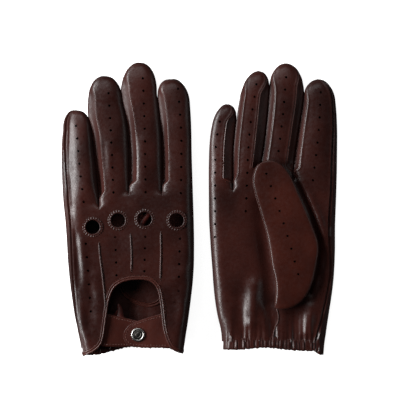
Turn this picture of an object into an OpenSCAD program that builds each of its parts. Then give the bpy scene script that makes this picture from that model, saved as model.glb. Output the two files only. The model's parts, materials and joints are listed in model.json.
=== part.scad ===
// A pair of unlined leather driving gloves lying flat, side by side.
// The left glove lies palm down and the right one palm up, each with its thumb folded across the palm.
// Each glove is drawn in its own frame: X from the little finger to the index finger, Y from the wrist hem
// to the fingertips, and Z from the outside of the back to the outside of the palm.

/* [Leather] */
// Thickness of the glove leather
leather = 1; // [0.8:0.1:1.2]
// Outside thickness of a glove lying flat
glove_h = 15; // [14:0.5:17]
// Outside thickness of the folded thumb at its root
thumb_h = 8.5; // [8:0.5:10]
// Outside thickness of the folded thumb at its tip
thumb_tip_h = 4.6; // [4:0.2:6]

/* [Punched holes] */
// Diameter of the small ventilation holes
punch_d = 1.8; // [1.2:0.1:2.2]
// Spacing of the ventilation holes along a finger
punch_pitch = 10; // [9:0.5:11]
// Diameter of the open part of a knuckle hole
knuckle_d = 10.8; // [9:0.2:11.4]
// Width of the stitched ring around a knuckle hole
knuckle_rim = 1.6; // [1:0.1:2]

/* [Fingers] */
// How far a finger bends towards the palm, in degrees
finger_bend = 70; // [30:5:75]

/* [Wrist] */
// Width of the binding around the back opening
binding_w = 2.4; // [1.8:0.1:3]
// Width of the folded hem across the palm side of the wrist
hem_w = 9; // [8:0.5:11]
// Outside diameter of the snap's cap
cap_d = 11; // [10:0.5:12.5]

/* [Pair] */
// Distance between the middles of the two gloves
pair_pitch = 115; // [112:1:180]

/* [Hidden] */
SIDES = ["left", "right"];
FINGERS = ["little", "ring", "middle", "index"];
PIECES = concat(["back_panel", "palm_panel", "crotch_fourchettes", "opening_binding", "wrist_hem",
                 "wrist_elastic", "knuckle_rings", "thumb_welt", "thumb_root", "strap_base", "strap_root",
                 "snap_stud", "snap_post", "strap_tab", "snap_cap", "snap_socket", "thumb_top", "thumb_under"],
                [for (finger = FINGERS, piece = ["_back", "_palm", "_fourchettes"]) str(finger, piece)]);

$fn = 48;
gap = 0.4;             // clearance between pieces that move against each other
eps = 0.01;
big = 150;             // longer than any finger
curve_steps = 5;       // points per span of a smooth curve
inner_h = glove_h - leather;
pair_middle = [-1.08, 118.25];

// Each finger: [foot x, foot y, lean towards the index side in degrees, length, width at its foot, width where
// its round tip starts, length of that tip, distance from its foot to the crease that it bends at].
LAY = [
    [[-37.5, 126.5, -4.2, 71.5, 27.4, 21.4, 16, 22.5], [-11.4, 133, -4.9, 93, 22.4, 25.2, 24, 34],
     [13.9, 134.5, -2.8, 101.5, 24.8, 25.6, 24, 32.5], [39, 134.5, -2.6, 88.5, 22.4, 21.6, 20, 29.5]],
    [[-40.2, 136, 2.2, 66.5, 17.4, 19, 16, 27.5], [-21.4, 139, 5.4, 90, 17, 21, 20, 31],
     [4.4, 145.5, 4.9, 90, 25, 26, 24, 31], [34.2, 145.5, 3, 77, 31.8, 25.4, 20, 28]]
];
// Each hand's two edges, from the hem up to the feet of the fingers.
LITTLE_EDGE = [
    [[-36.5, 0], [-38.5, 18], [-41.5, 34], [-44, 58], [-47.5, 88], [-50, 108]],
    [[-40, 0], [-41.5, 22], [-44, 36], [-46.5, 58], [-47.5, 84], [-48.3, 112]]
];
INDEX_EDGE = [
    [[43.5, 0], [45.5, 18], [48, 38], [50.5, 58], [51.5, 86], [51.2, 112]],
    [[40.5, 0], [42.5, 22], [45.5, 42], [48.5, 66], [49.5, 92], [50, 122]]
];
// The back opening, from the little finger's side of the hem over its arch to the index side.
ARCH = [[-35, -4], [-21.5, 9], [-18.5, 20], [-16.5, 34], [-13, 50], [-3, 60], [9, 63], [18.5, 60.5],
        [24.5, 53], [26, 42], [28.3, 24], [33, 10], [43, -4]];
KNUCKLES = [[-28.5, 105], [-8.5, 110.5], [12.5, 111.5], [38, 110.5]];
// Rows of ventilation holes on the hand: [first, last, count].
HAND_ROWS = [[[-33.5, 92], [-29.5, 38], 6], [[-10, 97], [-9, 67], 4], [[13.5, 97], [13, 70], 4],
             [[41, 96], [38, 45], 6]];
PALM_ROWS = [[[-45, 128], [-45, 98], 4], [[-22, 132], [-22, 118], 2]];
// Numbers of ventilation holes on the back and on the palm side of each finger, and how far from the tip they
// start. On the back a finger creases between two holes.
BACK_PUNCHES = [6, 8, 9, 8];
PALM_PUNCHES = [6, 8, 8, 7];
back_punch_start = 14;
palm_punch_start = 9;
// Raised pleats on the back: [upper end, lower end].
PLEATS = [[[-23, 92], [-19, 50]], [[2, 99], [2.5, 69]], [[26, 100], [26.5, 65]]];
pleat_w = 1.2;
pleat_h = 0.6;

THUMB = [[0, 42], [17, 42.5], [28.5, 52], [35, 70], [35.5, 91], [27, 116], [16, 140], [2, 158], [-12, 151],
         [-14.5, 134], [-10, 116], [-5, 97], [-1.5, 75], [1, 56]];
THUMB_HOLE = [[6, 50], [17, 49], [25, 56], [29.5, 71], [29, 84], [20, 84], [10, 66]];
THUMB_ROW = [[-4.5, 147], [20, 72], 9];
THUMB_CREASE = [[0.8, 40.8], [36.2, 90.4]];
thumb_z = glove_h + gap;
thumb_slope = atan((thumb_h - thumb_tip_h) / (158 - 41));

SNAP = [8, 19];
TAB = [[22.1, 36], [10, 31], [0, 26.5], [-3.5, 18.5], [1.5, 10.5], [9, 8.6], [29, 8.6]];
TAB_ROOT = [[23.2, 36], [30.1, 8.6], [38, 9], [33, 35.5]];
BASE_TAB = [[-20.6, 9.5], [16, 8.8], [19, 18.5], [14, 28], [6, 30], [-12.5, 35], [-15.9, 34.5]];
binding_h = 2;
tab_z = binding_h;     // outer face of the strap's tab
base_z = 5.5;          // outer face of the strap's base
socket_h = 1.6;
stud_flange = 0.6;
barrel_r = 1.4;
knob_r = 2;

function side_index(side) = side == "left" ? 0 : 1;
function unit(v) = v / norm(v);
function left_of(v) = [-v.y, v.x];
function reversed(p) = [for (i = [len(p) - 1:-1:0]) p[i]];
// Smooth curves through points, by the Catmull-Rom rule.
function blend(a, b, c, d, t) =
    0.5 * (2 * b + (c - a) * t + (2 * a - 5 * b + 4 * c - d) * t * t + (3 * b - a - 3 * c + d) * t * t * t);
function at(p, i) = i < 0 ? 2 * p[0] - p[1] : i >= len(p) ? 2 * p[len(p) - 1] - p[len(p) - 2] : p[i];
function curve(p) = concat([for (i = [0:len(p) - 2], s = [0:curve_steps - 1])
    blend(at(p, i - 1), p[i], p[i + 1], at(p, i + 2), s / curve_steps)], [p[len(p) - 1]]);
function loop_curve(p) = let (n = len(p)) [for (i = [0:n - 1], s = [0:curve_steps - 1])
    blend(p[(i + n - 1) % n], p[i], p[(i + 1) % n], p[(i + 2) % n], s / curve_steps)];
// A path moved to its left by d.
function shifted(p, d) = [for (i = [0:len(p) - 1])
    p[i] + d * left_of(unit(p[min(i + 1, len(p) - 1)] - p[max(i - 1, 0)]))];
function loop_shifted(p, d) = let (n = len(p)) [for (i = [0:n - 1])
    p[i] + d * left_of(unit(p[(i + 1) % n] - p[(i + n - 1) % n]))];

function shoulder(f) = f[3] - f[6];
function half_width(f, y) = (f[4] + (f[5] - f[4]) * y / shoulder(f)) / 2;
function tip_arc(f) = [for (a = [0:12:180]) [f[5] / 2 * cos(a), shoulder(f) + f[6] * sin(a)]];
// A point in a finger's own frame, moved to the hand's.
function on_hand(f, p) = [f[0] + p.x * cos(f[2]) + p.y * sin(f[2]), f[1] - p.x * sin(f[2]) + p.y * cos(f[2])];
function all_on_hand(f, points) = [for (p = points) on_hand(f, p)];
function foot(f, s) = on_hand(f, [s * half_width(f, 0), 0]);
function top(f, s) = on_hand(f, [s * f[5] / 2, shoulder(f)]);

module slab(points, z, h) translate([0, 0, z]) linear_extrude(h) polygon(points);
module slab_ring(points, w, z, h) difference() {
    slab(points, z, h);
    slab(loop_shifted(points, w), z - eps, h + 2 * eps);
}
// A wall of leather standing on a path, between the back and the palm, on the left of the path.
module wall(path) slab(concat(path, reversed(shifted(path, leather))), leather, glove_h - 2 * leather);
module in_finger(f) translate([f[0], f[1], 0]) rotate(-f[2]) children();
// A row of punched holes through whatever lies at height z.
module punches(row, z) for (i = [0:row[2] - 1])
    translate(concat(row[0] + (row[1] - row[0]) * i / max(row[2] - 1, 1), z - eps))
        cylinder(d = punch_d, h = leather + 2 * eps, $fn = 16);
module finger_punches(f, count, start, z)
    in_finger(f) punches([[0, f[3] - start], [0, f[3] - start - (count - 1) * punch_pitch], count], z);

module finger_plate(f, z) slab(concat([foot(f, -1), foot(f, 1)], all_on_hand(f, tip_arc(f))), z, leather);
// A side wall of a finger, from just below its foot to just short of its round tip.
module finger_wall(f, s) let (y = shoulder(f) - gap, low = on_hand(f, [s * half_width(f, -leather), -leather]),
    high = on_hand(f, [s * half_width(f, y), y])) wall(s > 0 ? [low, high] : [high, low]);
// The wedge of room that the leather folds into as a finger bends towards the palm.
module crease_wedge(f) let (h = glove_h / 2 + 1, w = h * tan(finger_bend / 2 + 1.5))
    translate([0, f[7], glove_h / 2]) rotate([90, 0, 90])
        linear_extrude(60, center = true) polygon([[0, 0], [w, h], [-w, h]]);
module below_crease(f) difference() {
    children();
    in_finger(f) {
        translate([-big / 2, f[7] - gap / 2, -1]) cube([big, big, glove_h + 2]);
        crease_wedge(f);
    }
}
module above_crease(f) difference() {
    children();
    in_finger(f) {
        translate([-big / 2, f[7] + gap / 2 - big, -1]) cube([big, big, glove_h + 2]);
        crease_wedge(f);
    }
}

module hand_outline(k) polygon(concat(curve(INDEX_EDGE[k]),
    [for (i = [3:-1:0], s = [1, -1]) foot(LAY[k][i], s)], reversed(curve(LITTLE_EDGE[k]))));
module hand_plate(k, z) {
    translate([0, 0, z]) linear_extrude(leather) hand_outline(k);
    for (f = LAY[k]) below_crease(f) finger_plate(f, z);
}

module back_panel(side) color("saddlebrown") let (k = side_index(side)) {
    difference() {
        hand_plate(k, 0);
        slab(curve(ARCH), -eps, leather + 2 * eps);
        for (p = KNUCKLES) translate([p.x, p.y, -eps])
            cylinder(d = knuckle_d + 2 * knuckle_rim, h = leather + 2 * eps);
        for (row = HAND_ROWS) punches(row, 0);
        for (i = [0:3]) finger_punches(LAY[k][i], BACK_PUNCHES[i], back_punch_start, 0);
    }
    for (p = PLEATS)
        slab(concat(shifted(p, pleat_w / 2), reversed(shifted(p, -pleat_w / 2))), leather - eps, pleat_h);
    below_crease(LAY[k][3]) wall(concat(curve(INDEX_EDGE[k]), [foot(LAY[k][3], 1), top(LAY[k][3], 1)]));
}

module palm_panel(side) color("saddlebrown") let (k = side_index(side)) {
    difference() {
        hand_plate(k, inner_h);
        slab(loop_curve(THUMB_HOLE), inner_h - eps, leather + 2 * eps);
        translate([-big, -1, inner_h - eps]) cube([2 * big, hem_w + 1, leather + 2 * eps]);
        for (row = PALM_ROWS) punches(row, inner_h);
        for (i = [0:3]) finger_punches(LAY[k][i], PALM_PUNCHES[i], palm_punch_start, inner_h);
    }
    below_crease(LAY[k][0])
        wall(concat([top(LAY[k][0], -1), foot(LAY[k][0], -1)], reversed(curve(LITTLE_EDGE[k]))));
}

// The forked strips between the fingers, from each crotch up to the creases.
module crotch_fourchettes(side) color("sienna") let (k = side_index(side)) for (i = [0:2]) let (
    a = LAY[k][i], b = LAY[k][i + 1], along = unit(foot(b, -1) - foot(a, 1)) * leather * 0.9) {
    below_crease(a) finger_wall(a, 1);
    below_crease(b) finger_wall(b, -1);
    wall([foot(b, -1) + along, foot(a, 1) - along]);
}

module opening_binding(side) color("maroon") difference() {
    slab(curve(ARCH), 0, binding_h);
    slab(shifted(curve(ARCH), -binding_w), -eps, binding_h + 1);
    translate([-big, -big, -1]) cube([2 * big, big, 4]);
}

// The folded hem across the palm, with the elastic in its channel.
module wrist_hem(side) color("maroon") let (k = side_index(side), low = shifted(curve(INDEX_EDGE[k]), leather),
    far = shifted(curve(LITTLE_EDGE[k]), -leather)) difference() {
    intersection() {
        union() {
            translate([0, 0, inner_h]) linear_extrude(leather) hand_outline(k);
            slab(concat(low, reversed(far)), glove_h - 2.4, 2.4);
        }
        translate([-big, 0, 0]) cube([2 * big, hem_w, glove_h]);
    }
    elastic(k);
}
module elastic(k) translate([LITTLE_EDGE[k][0].x + 8, 1.5, glove_h - 1.7])
    cube([INDEX_EDGE[k][0].x - LITTLE_EDGE[k][0].x - 16, hem_w - 3, 1]);
module wrist_elastic(side) color("dimgray") elastic(side_index(side));

module knuckle_rings(side) color("sienna") for (p = KNUCKLES) translate([p.x, p.y, 0]) difference() {
    union() {
        cylinder(d = knuckle_d + 2 * knuckle_rim - 0.06, h = leather);
        translate([0, 0, leather]) cylinder(d = knuckle_d + 2 * knuckle_rim + 0.8, h = 0.4);
    }
    translate([0, 0, -eps]) cylinder(d = knuckle_d, h = leather + 1);
}

module thumb_welt(side) color("sienna") slab_ring(loop_curve(THUMB_HOLE), 1.4, inner_h, leather);

// Everything at least d below the sloping outside of the folded thumb.
module under_slope(d) translate([0, 41, thumb_z + thumb_h - d]) rotate([-thumb_slope, 0, 0])
    translate([-big, -big, -2 * big]) cube([2 * big, 3 * big, 2 * big]);
module thumb_shell(z) {
    intersection() {
        slab(loop_curve(THUMB), z, big);
        difference() {
            under_slope(0);
            under_slope(leather);
        }
    }
    intersection() {
        slab_ring(loop_curve(THUMB), leather, z, big);
        under_slope(leather - eps);
    }
}
// The part on one side of the crease that the thumb folds at: s is 1 for the thumb and -1 for its root.
module beside_crease(s) let (v = THUMB_CREASE[1] - THUMB_CREASE[0]) difference() {
    children();
    translate(concat(THUMB_CREASE[0], 0)) rotate(atan2(v.y, v.x))
        translate([-big, s > 0 ? gap - 2 * big : -gap, 0]) cube([3 * big, 2 * big, big]);
}
module thumb_root(side) color("saddlebrown") beside_crease(-1) thumb_shell(glove_h);
module thumb_top(side) color("saddlebrown") beside_crease(1) difference() {
    thumb_shell(thumb_z + leather);
    for (i = [0:THUMB_ROW[2] - 1])
        translate(concat(THUMB_ROW[0] + (THUMB_ROW[1] - THUMB_ROW[0]) * i / (THUMB_ROW[2] - 1), thumb_z + 3))
            cylinder(d = punch_d, h = thumb_h, $fn = 16);
}
module thumb_under(side) color("saddlebrown") beside_crease(1) difference() {
    slab(loop_curve(THUMB), thumb_z, leather);
    slab(loop_curve(THUMB_HOLE), thumb_z - eps, leather + 2 * eps);
}

module strap_base(side) color("saddlebrown") difference() {
    union() {
        slab(BASE_TAB, base_z, leather);
        intersection() {
            difference() {
                slab(shifted(curve(ARCH), -0.7), binding_h, base_z - binding_h + 0.5);
                slab(shifted(curve(ARCH), -0.7 - leather), binding_h - eps, base_z);
            }
            translate([-30, 10, 0]) cube([25, 24, 10]);
        }
    }
    translate(concat(SNAP, base_z - eps)) cylinder(r = barrel_r + 0.05, h = leather + 2 * eps);
}
module strap_root(side) color("saddlebrown") slab(TAB_ROOT, tab_z, leather);
module strap_tab(side) color("saddlebrown") difference() {
    slab(concat(curve([for (i = [0:5]) TAB[i]]), [TAB[6]]), tab_z, leather);
    translate(concat(SNAP, tab_z - eps)) cylinder(r = barrel_r + 0.05, h = leather + 2 * eps);
}

module turned(profile) color("silver") translate(concat(SNAP, 0)) rotate_extrude() polygon(profile);
module snap_cap(side) turned([[0, 0.4], [3.6, 0.4], [4, 0.1], [4.8, 0.1], [cap_d / 2, 0.8], [cap_d / 2, tab_z],
                              [barrel_r, tab_z], [barrel_r, tab_z + leather], [0, tab_z + leather]]);
module snap_socket(side) let (z = tab_z + leather)
    turned([[knob_r + 0.3, z], [5, z], [5, z + 1], [4.2, z + socket_h], [knob_r + 0.3, z + socket_h]]);
module snap_stud(side) let (z = base_z - stud_flange)
    turned([[0, base_z], [4.6, base_z], [4.6, z], [knob_r - 0.4, z], [knob_r - 0.4, z - 0.5], [knob_r, z - 0.8],
            [knob_r - 0.5, z - 1.4], [0, z - 1.4]]);
module snap_post(side) let (z = base_z + leather)
    turned([[0, base_z], [barrel_r, base_z], [barrel_r, z], [3.5, z], [3.2, z + 0.6], [0, z + 0.6]]);

// The part of each finger beyond its crease.
module finger_back(side, i) color("saddlebrown") let (f = LAY[side_index(side)][i]) above_crease(f) {
    difference() {
        finger_plate(f, 0);
        finger_punches(f, BACK_PUNCHES[i], back_punch_start, 0);
    }
    wall(all_on_hand(f, tip_arc(f)));
    if (i == 3) finger_wall(f, 1);
}
module finger_palm(side, i) color("saddlebrown") let (f = LAY[side_index(side)][i]) above_crease(f) {
    difference() {
        finger_plate(f, inner_h);
        finger_punches(f, PALM_PUNCHES[i], palm_punch_start, inner_h);
    }
    if (i == 0) finger_wall(f, -1);
}
module finger_fourchettes(side, i) color("sienna") let (f = LAY[side_index(side)][i]) above_crease(f)
    for (s = [-1, 1]) if (!(i == 0 && s == -1) && !(i == 3 && s == 1)) finger_wall(f, s);

// Moves a glove from its own frame to its place in the pair. The left one rests on its folded thumb.
module place(side) translate([-pair_middle.x, -pair_middle.y, 0])
    if (side == "left") translate([-pair_pitch / 2, 41, 0]) rotate([-thumb_slope, 0, 0])
        translate([0, -41, thumb_z + thumb_h]) mirror([0, 0, 1]) children();
    else translate([pair_pitch / 2, 0, 0]) children();

for (side = SIDES) place(side) {
    back_panel(side);
    palm_panel(side);
    crotch_fourchettes(side);
    opening_binding(side);
    wrist_hem(side);
    wrist_elastic(side);
    knuckle_rings(side);
    thumb_welt(side);
    thumb_root(side);
    strap_base(side);
    strap_root(side);
    snap_stud(side);
    snap_post(side);
    strap_tab(side);
    snap_cap(side);
    snap_socket(side);
    thumb_top(side);
    thumb_under(side);
    for (i = [0:3]) {
        finger_back(side, i);
        finger_palm(side, i);
        finger_fourchettes(side, i);
    }
}
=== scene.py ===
import json
import math
import bpy
import bmesh
import numpy as np
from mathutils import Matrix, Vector


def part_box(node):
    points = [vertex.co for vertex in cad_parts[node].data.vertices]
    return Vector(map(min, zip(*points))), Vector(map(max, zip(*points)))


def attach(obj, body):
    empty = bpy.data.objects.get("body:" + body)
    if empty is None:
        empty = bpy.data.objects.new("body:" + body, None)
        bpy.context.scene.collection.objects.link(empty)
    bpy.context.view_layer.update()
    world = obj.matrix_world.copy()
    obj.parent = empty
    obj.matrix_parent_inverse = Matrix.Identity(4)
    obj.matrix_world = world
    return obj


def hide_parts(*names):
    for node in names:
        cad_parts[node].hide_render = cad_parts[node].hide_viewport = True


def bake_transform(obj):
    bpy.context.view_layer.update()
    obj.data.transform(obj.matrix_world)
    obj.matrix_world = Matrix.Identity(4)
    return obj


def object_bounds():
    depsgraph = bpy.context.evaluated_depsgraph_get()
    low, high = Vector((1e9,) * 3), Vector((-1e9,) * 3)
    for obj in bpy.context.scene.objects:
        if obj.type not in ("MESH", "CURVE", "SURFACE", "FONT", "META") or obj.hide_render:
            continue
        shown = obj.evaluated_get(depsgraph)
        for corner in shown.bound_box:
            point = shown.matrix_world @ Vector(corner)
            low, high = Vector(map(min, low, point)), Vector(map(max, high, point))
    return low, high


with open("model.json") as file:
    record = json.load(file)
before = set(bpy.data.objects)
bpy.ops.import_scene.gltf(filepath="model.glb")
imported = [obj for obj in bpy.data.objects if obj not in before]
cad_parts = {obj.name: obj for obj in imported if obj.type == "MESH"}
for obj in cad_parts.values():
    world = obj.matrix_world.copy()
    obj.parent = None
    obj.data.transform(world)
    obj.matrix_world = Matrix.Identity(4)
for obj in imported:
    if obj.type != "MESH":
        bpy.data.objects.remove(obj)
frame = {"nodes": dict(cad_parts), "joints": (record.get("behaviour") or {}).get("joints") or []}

cad_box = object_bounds()
JOINTS = {j["name"]: j for j in frame["joints"]}
SIDES = ("left", "right")
FINGERS = ("little", "ring", "middle", "index")

# ---- a glove's own frame, in millimetres
# X runs from the little finger to the index finger, Y from the wrist hem to the tips, Z from back to palm.
# Of a glove's two faces, 1 is the palm and -1 is the back.
SNAP = (8.0, 19.0)
BACK_Z, PALM_Z = 0.5, 14.7          # outer faces of the leather
HALF_THICK = 7.1                    # half the thickness of a lying glove
SKIN, STRIP_SKIN = 1.0, 0.9         # thickness of the leather, and of the strips between the fingers
THUMB_BASE_Y = 41.0
FLIP_H = 23.9                       # the left glove is this high over the floor at its thumb's base
TILT = math.atan(3.9 / 117)
UP_OF = {1: np.array([0, 0, 1.0]), -1: np.array([0, 0, -1.0])}


def snap_centre(side):
    lo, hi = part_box(side + "_snap_cap")
    return (np.array(lo) + np.array(hi)) * 500


ORIGIN = {side: (snap_centre(side)[0] - SNAP[0], snap_centre("right")[1] - SNAP[1]) for side in SIDES}


def place(side, points):
    """A glove's own millimetres to the pair's metres. The left glove lies palm down on its folded thumb."""
    p = np.asarray(points, float)
    if side == "right":
        return np.stack([p[..., 0] + ORIGIN[side][0], p[..., 1] + ORIGIN[side][1], p[..., 2]], -1) / 1000
    y, z = p[..., 1] - THUMB_BASE_Y, FLIP_H - p[..., 2]
    c, s = math.cos(TILT), math.sin(TILT)
    return np.stack([p[..., 0] + ORIGIN[side][0], y * c + z * s + ORIGIN[side][1] + THUMB_BASE_Y,
                     -y * s + z * c], -1) / 1000


def unplace(side, point):
    q = np.asarray(point, float) * 1000
    if side == "right":
        return np.array([q[0] - ORIGIN[side][0], q[1] - ORIGIN[side][1], q[2]])
    yy, c, s = q[1] - ORIGIN[side][1] - THUMB_BASE_Y, math.cos(TILT), math.sin(TILT)
    return np.array([q[0] - ORIGIN[side][0], yy * c - q[2] * s + THUMB_BASE_Y, FLIP_H - (yy * s + q[2] * c)])


def fold_of(side, joint, way):
    """A joint's point and the level direction square to its axis that goes way, in its glove's frame."""
    j = JOINTS[f"{side}_{joint}"]
    p = unplace(side, j["pos_m"])
    axis = unplace(side, np.array(j["pos_m"]) + np.array(j["axis"]) * 0.01) - p
    d = unit(np.array([-axis[1], axis[0], 0.0]))
    return p, d if d @ way > 0 else -d


# ---- small mathematics
def step(x):
    x = np.clip(x, 0, 1)
    return x * x * (3 - 2 * x)


def curve_of(points):
    """Smooth x(y) through (x, y) points that climb in y."""
    p = np.array(points, float)
    x, y = p[:, 0], p[:, 1]
    gaps = np.diff(y)
    slopes = np.diff(x) / gaps
    inner = (slopes[:-1] * gaps[1:] + slopes[1:] * gaps[:-1]) / (gaps[1:] + gaps[:-1])
    m = np.concatenate([slopes[:1], inner, slopes[-1:]])

    def at(v):
        v = np.asarray(v, float)
        i = np.clip(np.searchsorted(y, v) - 1, 0, len(y) - 2)
        g = y[i + 1] - y[i]
        t = np.clip((v - y[i]) / g, -0.2, 1.2)
        return ((2 * t**3 - 3 * t**2 + 1) * x[i] + (t**3 - 2 * t**2 + t) * g * m[i]
                + (3 * t**2 - 2 * t**3) * x[i + 1] + (t**3 - t**2) * g * m[i + 1])
    return at


def lengths(path):
    """How far along a path each of its points is."""
    return np.concatenate([[0], np.cumsum(np.linalg.norm(np.diff(path, axis=0), axis=1))])


def interp(path, run, wanted):
    """A path's points at the wanted values of run, which climbs along it."""
    return np.stack([np.interp(wanted, run, path[:, k]) for k in range(path.shape[1])], 1)


def spread(path, share):
    """A path's points at the given shares of it, 0 to 1."""
    return interp(path, np.linspace(0, 1, len(path)), share)


def smooth_path(points, pitch, closed=False):
    """Points about pitch apart on a smooth path through the given ones."""
    p = np.array(points, float)
    if closed:
        p = np.concatenate([p[-1:], p, p[:2]])
    else:
        p = np.concatenate([[2 * p[0] - p[1]], p, [2 * p[-1] - p[-2]]])
    a, b, c, d = (p[k:len(p) - 3 + k, None] for k in range(4))
    t = np.linspace(0, 1, 24, endpoint=False)[:, None]
    fine = 0.5 * (2 * b + (c - a) * t + (2 * a - 5 * b + 4 * c - d) * t**2 + (3 * b - a - 3 * c + d) * t**3)
    return resampled(np.concatenate([fine.reshape(-1, p.shape[1]), p[-2:-1]]), pitch, closed)


def resampled(path, pitch, closed=False):
    run = lengths(path)
    count = max(2, int(round(run[-1] / pitch)))
    return interp(path, run, np.linspace(0, run[-1], count + 1)[:count if closed else None])


def tangents(path, closed=False):
    if closed:
        t = np.roll(path, -1, 0) - np.roll(path, 1, 0)
    else:
        t = np.gradient(path, axis=0)
    return t / np.maximum(np.linalg.norm(t, axis=1, keepdims=True), 1e-9)


def unit(v):
    return v / np.maximum(np.linalg.norm(v, axis=-1, keepdims=True), 1e-9)


def beside(path, up, closed=False):
    """The direction across a path at each of its points, square to up."""
    return unit(np.cross(tangents(path, closed), up))


def circle(count):
    a = np.linspace(0, 2 * math.pi, count, endpoint=False)
    return np.stack([np.cos(a), np.sin(a)], -1)


def rounded(inset, radius):
    """The height of an edge rounded over radius, from 0 at its rim to 1."""
    return np.sqrt(np.maximum(1 - (1 - np.minimum(inset / radius, 1)) ** 2, 0))


# ---- the outlines of the gloves
# Lines between the fingers, from the hem up to the shoulders of the finger tips, little side first.
LINES = {
    "left": [
        [(-36.2, 0), (-37, 8), (-39.8, 20.8), (-42.6, 33.6), (-44.6, 46.4), (-46.3, 59.2), (-47.7, 72),
         (-48.6, 84.8), (-49.4, 97.6), (-50.4, 110.4), (-51.8, 123.2), (-52.7, 136), (-53.3, 148.8),
         (-53.5, 161.6), (-53.3, 174.4), (-52.6, 182), (-51.6, 190)],
        [(-17, 0), (-20, 60), (-23.2, 123.2), (-25.6, 145), (-28, 166), (-29.8, 181), (-32, 190),
         (-32.8, 198), (-32.6, 205)],
        [(3.5, 0), (1.8, 60), (0.4, 134.4), (0.2, 166), (-2.8, 195), (-5.4, 206), (-6.8, 214)],
        [(24, 0), (26, 70), (26.8, 134.4), (26.6, 166), (25, 190), (22.8, 208), (22, 214)],
        [(43.6, 0), (44.1, 6), (45.7, 17.6), (47.9, 32), (49.7, 46), (50.9, 56), (52, 70), (52.4, 90),
         (52.2, 104), (51.3, 134), (50.5, 160), (49.8, 190.4), (48.8, 206)]],
    "right": [
        [(-39.6, 0), (-39.9, 8), (-41, 21), (-43.9, 33.6), (-46, 46.4), (-47.3, 59.2), (-48.2, 72),
         (-49.2, 84.8), (-50, 97.6), (-50.7, 110.4), (-50.9, 130), (-50.9, 155), (-50.1, 174.4), (-49.2, 182),
         (-47.6, 190)],
        [(-17.5, 0), (-24, 70), (-31.6, 137.6), (-31.4, 150), (-31, 166), (-28.9, 188), (-27, 203),
         (-26, 209)],
        [(3, 0), (-3, 70), (-10.8, 148.8), (-8.2, 161), (-5.4, 180), (-3.3, 200), (-2.6, 212)],
        [(22, 0), (19, 70), (16.4, 145.6), (18.6, 166), (22, 188), (24.8, 205), (25.6, 212)],
        [(40.9, 0), (41.4, 8), (43.1, 20.8), (45, 33.6), (47, 46.4), (48.7, 59.2), (49.7, 72), (50.2, 84.8),
         (50.3, 104), (51.4, 136), (51.9, 161.6), (51.9, 187), (51.2, 200), (50.6, 206)]],
}
FEET = {"left": (126, 123.2, 134.4, 134.4, 134), "right": (136, 137.6, 148.8, 145.6, 145)}
SHOULDERS = {"left": (182, 204, 212, 205), "right": (186, 208, 212, 205)}
TIPS = {"left": ((-42, 197.6), (-19, 225.2), (9, 236), (34.2, 222.6)),
        "right": ((-36.2, 203), (-11, 229.6), (10.8, 235.7), (37, 222.9))}
TIP_POWER = {"left": (0.74, 0.88, 0.92, 0.8), "right": (0.92, 0.98, 0.95, 1.0)}
PALM_HEM = {"left": [(2.2, -37), (2.2, -26), (5.5, -12), (8.4, 0), (7.8, 12), (7.2, 32), (4.5, 44)],
            "right": [(6.9, -40), (7.1, -24), (8.5, -7), (6.5, 15), (5.9, 27), (5.6, 43)]}
BACK_HEM = {"left": [(1.7, -37), (3.4, 44)], "right": [(6.2, -40), (1.8, 43)]}
LINE_AT = {side: [curve_of(p) for p in LINES[side]] for side in SIDES}
HEM_AT = {(side, face): curve_of(hem[side]) for face, hem in ((1, PALM_HEM), (-1, BACK_HEM))
          for side in SIDES}

# Where the seams run round each finger, as angles: 0 is the index side, 90 the palm, 180 the little side and
# 270 the back. Each finger: palm seam on its index side, palm seam on its little side, back seam on each. The
# outer seams, None here, follow the insets below.
SEAMS = {
    "left": [(55, None, None, 366), (45, 150, 237, 372), (45, 150, 240, 375), (None, 150, 238, None)],
    "right": [(79, None, None, 330), (69, 136, 222, 330), (57, 133, 222, 330), (None, 140, 222, None)],
}
# The two outer seams: how far inside the outline they run, as (inset, y).
LITTLE_INSET = curve_of([(0.3, 0), (0.8, 18), (2.6, 45), (3.9, 70), (4.6, 118), (3.2, 165), (2.6, 200)])
INDEX_INSET = curve_of([(9.4, 0), (7.4, 16.8), (5.2, 42.4), (3.9, 70.4), (5.6, 97.6), (5.0, 134), (2.8, 206)])

ROUND = 9.0        # how far in from the outer edge the hand's leather rounds over
VALLEY = 5.0       # how far below a crotch the valley between two fingers starts
GROW = 7.0         # length over which the strips between the fingers widen
TUBE_POWER = 0.82  # below 1 the tubes are flatter than an ellipse
# How far the strips between the fingers sink in, low on a finger and near its tip.
SINK = {("left", "four_little"): (0.85, 0.35), ("left", "four_index"): (0.9, 0.9),
        ("right", "four_little"): (0.5, 0.5), ("right", "four_index"): (0.3, 0.3)}
SQUARE, SQUARE_ABOVE = 0.42, 16.0      # how much squarer a finger is at its foot, and up to where
LEAN = 0.42                            # how far the left little finger's back leans towards its outer side
PRESSED = 0.06                         # how far neighbouring fingers press into each other
OUTER_RISE = (22, 34)                  # how far below its foot an outer side's tube starts, and its length


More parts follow.
